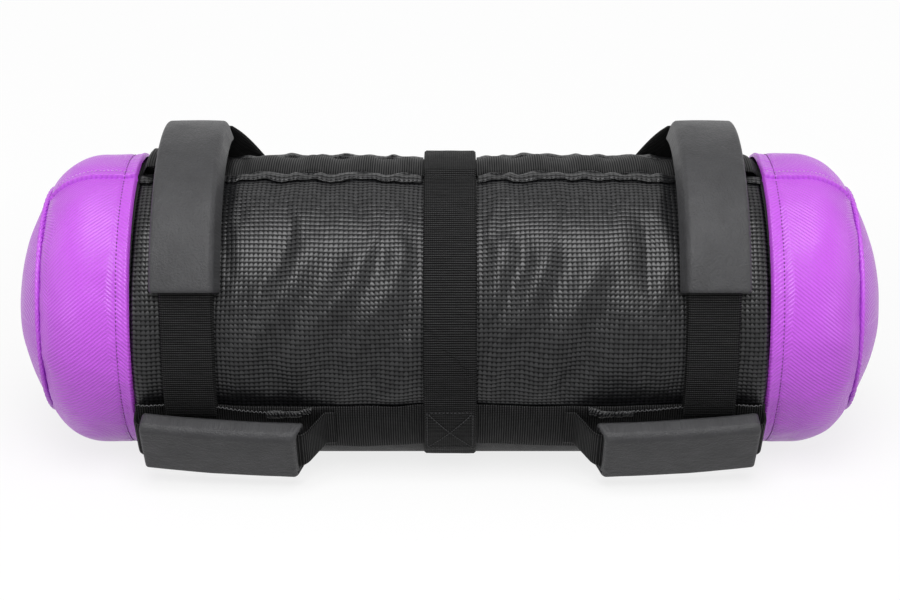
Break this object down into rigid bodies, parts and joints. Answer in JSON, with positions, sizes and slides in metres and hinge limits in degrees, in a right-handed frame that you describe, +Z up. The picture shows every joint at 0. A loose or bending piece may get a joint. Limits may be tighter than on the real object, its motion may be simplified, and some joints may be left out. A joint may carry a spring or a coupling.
{
  "type": "sandbag trainer",
  "caption": "Filled cylindrical training bag with rounded coloured ends, webbing straps, two arched top handles and padded grips along its lower sides.",
  "frame": {"origin": "on the floor, at the middle of the flattened strip of the bag that it rests on", "axes": "+X along the bag, to the picture's right; -Y towards the side seen in the picture; +Z up"},
  "size_m": [0.6404, 0.259, 0.2454],
  "materials": {
    "body_fabric": "coated basket weave, satin",
    "end_fabric": "coated twill, satin",
    "webbing": "ribbed webbing, matte",
    "grip": "soft charcoal synthetic leather",
    "foam": "padding, matte",
    "sack": "canvas, matte"
  },
  "bodies": {
    "bag": {"body_shell": "body_fabric", "cap_band_left": "end_fabric", "end_disc_left": "end_fabric", "rim_piping_left": "end_fabric", "seam_tape_left": "webbing", "end_pad_left": "foam", "sand_sack_left": "sack", "side_strap_left": "webbing", "cap_band_right": "end_fabric", "end_disc_right": "end_fabric", "rim_piping_right": "end_fabric", "seam_tape_right": "webbing", "end_pad_right": "foam", "sand_sack_right": "sack", "side_strap_right": "webbing", "foam_sleeve": "foam", "sand_sack_centre": "sack", "top_strap": "webbing", "front_lower_strap": "webbing", "rear_lower_strap": "webbing", "centre_strap": "webbing", "left_handle_front_leg": "webbing", "left_handle_rear_leg": "webbing", "right_handle_front_leg": "webbing", "right_handle_rear_leg": "webbing", "front_left_handle_outer_leg": "webbing", "front_left_handle_inner_leg": "webbing", "front_right_handle_outer_leg": "webbing", "front_right_handle_inner_leg": "webbing", "rear_left_handle_outer_leg": "webbing", "rear_left_handle_inner_leg": "webbing", "rear_right_handle_outer_leg": "webbing", "rear_right_handle_inner_leg": "webbing"},
    "left_handle": {"left_handle_grip": "grip", "left_handle_core": "webbing"},
    "right_handle": {"right_handle_grip": "grip", "right_handle_core": "webbing"},
    "front_left_handle": {"front_left_handle_grip": "grip", "front_left_handle_core": "webbing"},
    "front_right_handle": {"front_right_handle_grip": "grip", "front_right_handle_core": "webbing"},
    "rear_left_handle": {"rear_left_handle_grip": "grip", "rear_left_handle_core": "webbing"},
    "rear_right_handle": {"rear_right_handle_grip": "grip", "rear_right_handle_core": "webbing"}
  },
  "joints": [
    {"name": "left_handle_sway", "type": "hinge", "parent": "bag", "child": "left_handle", "pos_m": [-0.185, -0.11359, 0.10532], "axis": [0, -0.9999, -0.0148], "range_deg": [-8, 8], "deforming": ["left_handle_front_leg", "left_handle_rear_leg"]},
    {"name": "right_handle_sway", "type": "hinge", "parent": "bag", "child": "right_handle", "pos_m": [0.185, -0.11359, 0.10532], "axis": [0, -0.9999, -0.0148], "range_deg": [-8, 8], "deforming": ["right_handle_front_leg", "right_handle_rear_leg"]},
    {"name": "front_left_handle_tilt", "type": "hinge", "parent": "bag", "child": "front_left_handle", "pos_m": [-0.1625, -0.09473, 0.0443], "axis": [1, 0, 0], "range_deg": [-15, 15], "deforming": ["front_left_handle_outer_leg", "front_left_handle_inner_leg"]},
    {"name": "front_right_handle_tilt", "type": "hinge", "parent": "bag", "child": "front_right_handle", "pos_m": [0.1625, -0.09473, 0.0443], "axis": [1, 0, 0], "range_deg": [-15, 15], "deforming": ["front_right_handle_outer_leg", "front_right_handle_inner_leg"]},
    {"name": "rear_left_handle_tilt", "type": "hinge", "parent": "bag", "child": "rear_left_handle", "pos_m": [-0.1625, 0.09473, 0.0443], "axis": [1, 0, 0], "range_deg": [-15, 15], "deforming": ["rear_left_handle_outer_leg", "rear_left_handle_inner_leg"]},
    {"name": "rear_right_handle_tilt", "type": "hinge", "parent": "bag", "child": "rear_right_handle", "pos_m": [0.1625, 0.09473, 0.0443], "axis": [1, 0, 0], "range_deg": [-15, 15], "deforming": ["rear_right_handle_outer_leg", "rear_right_handle_inner_leg"]}
  ]
}
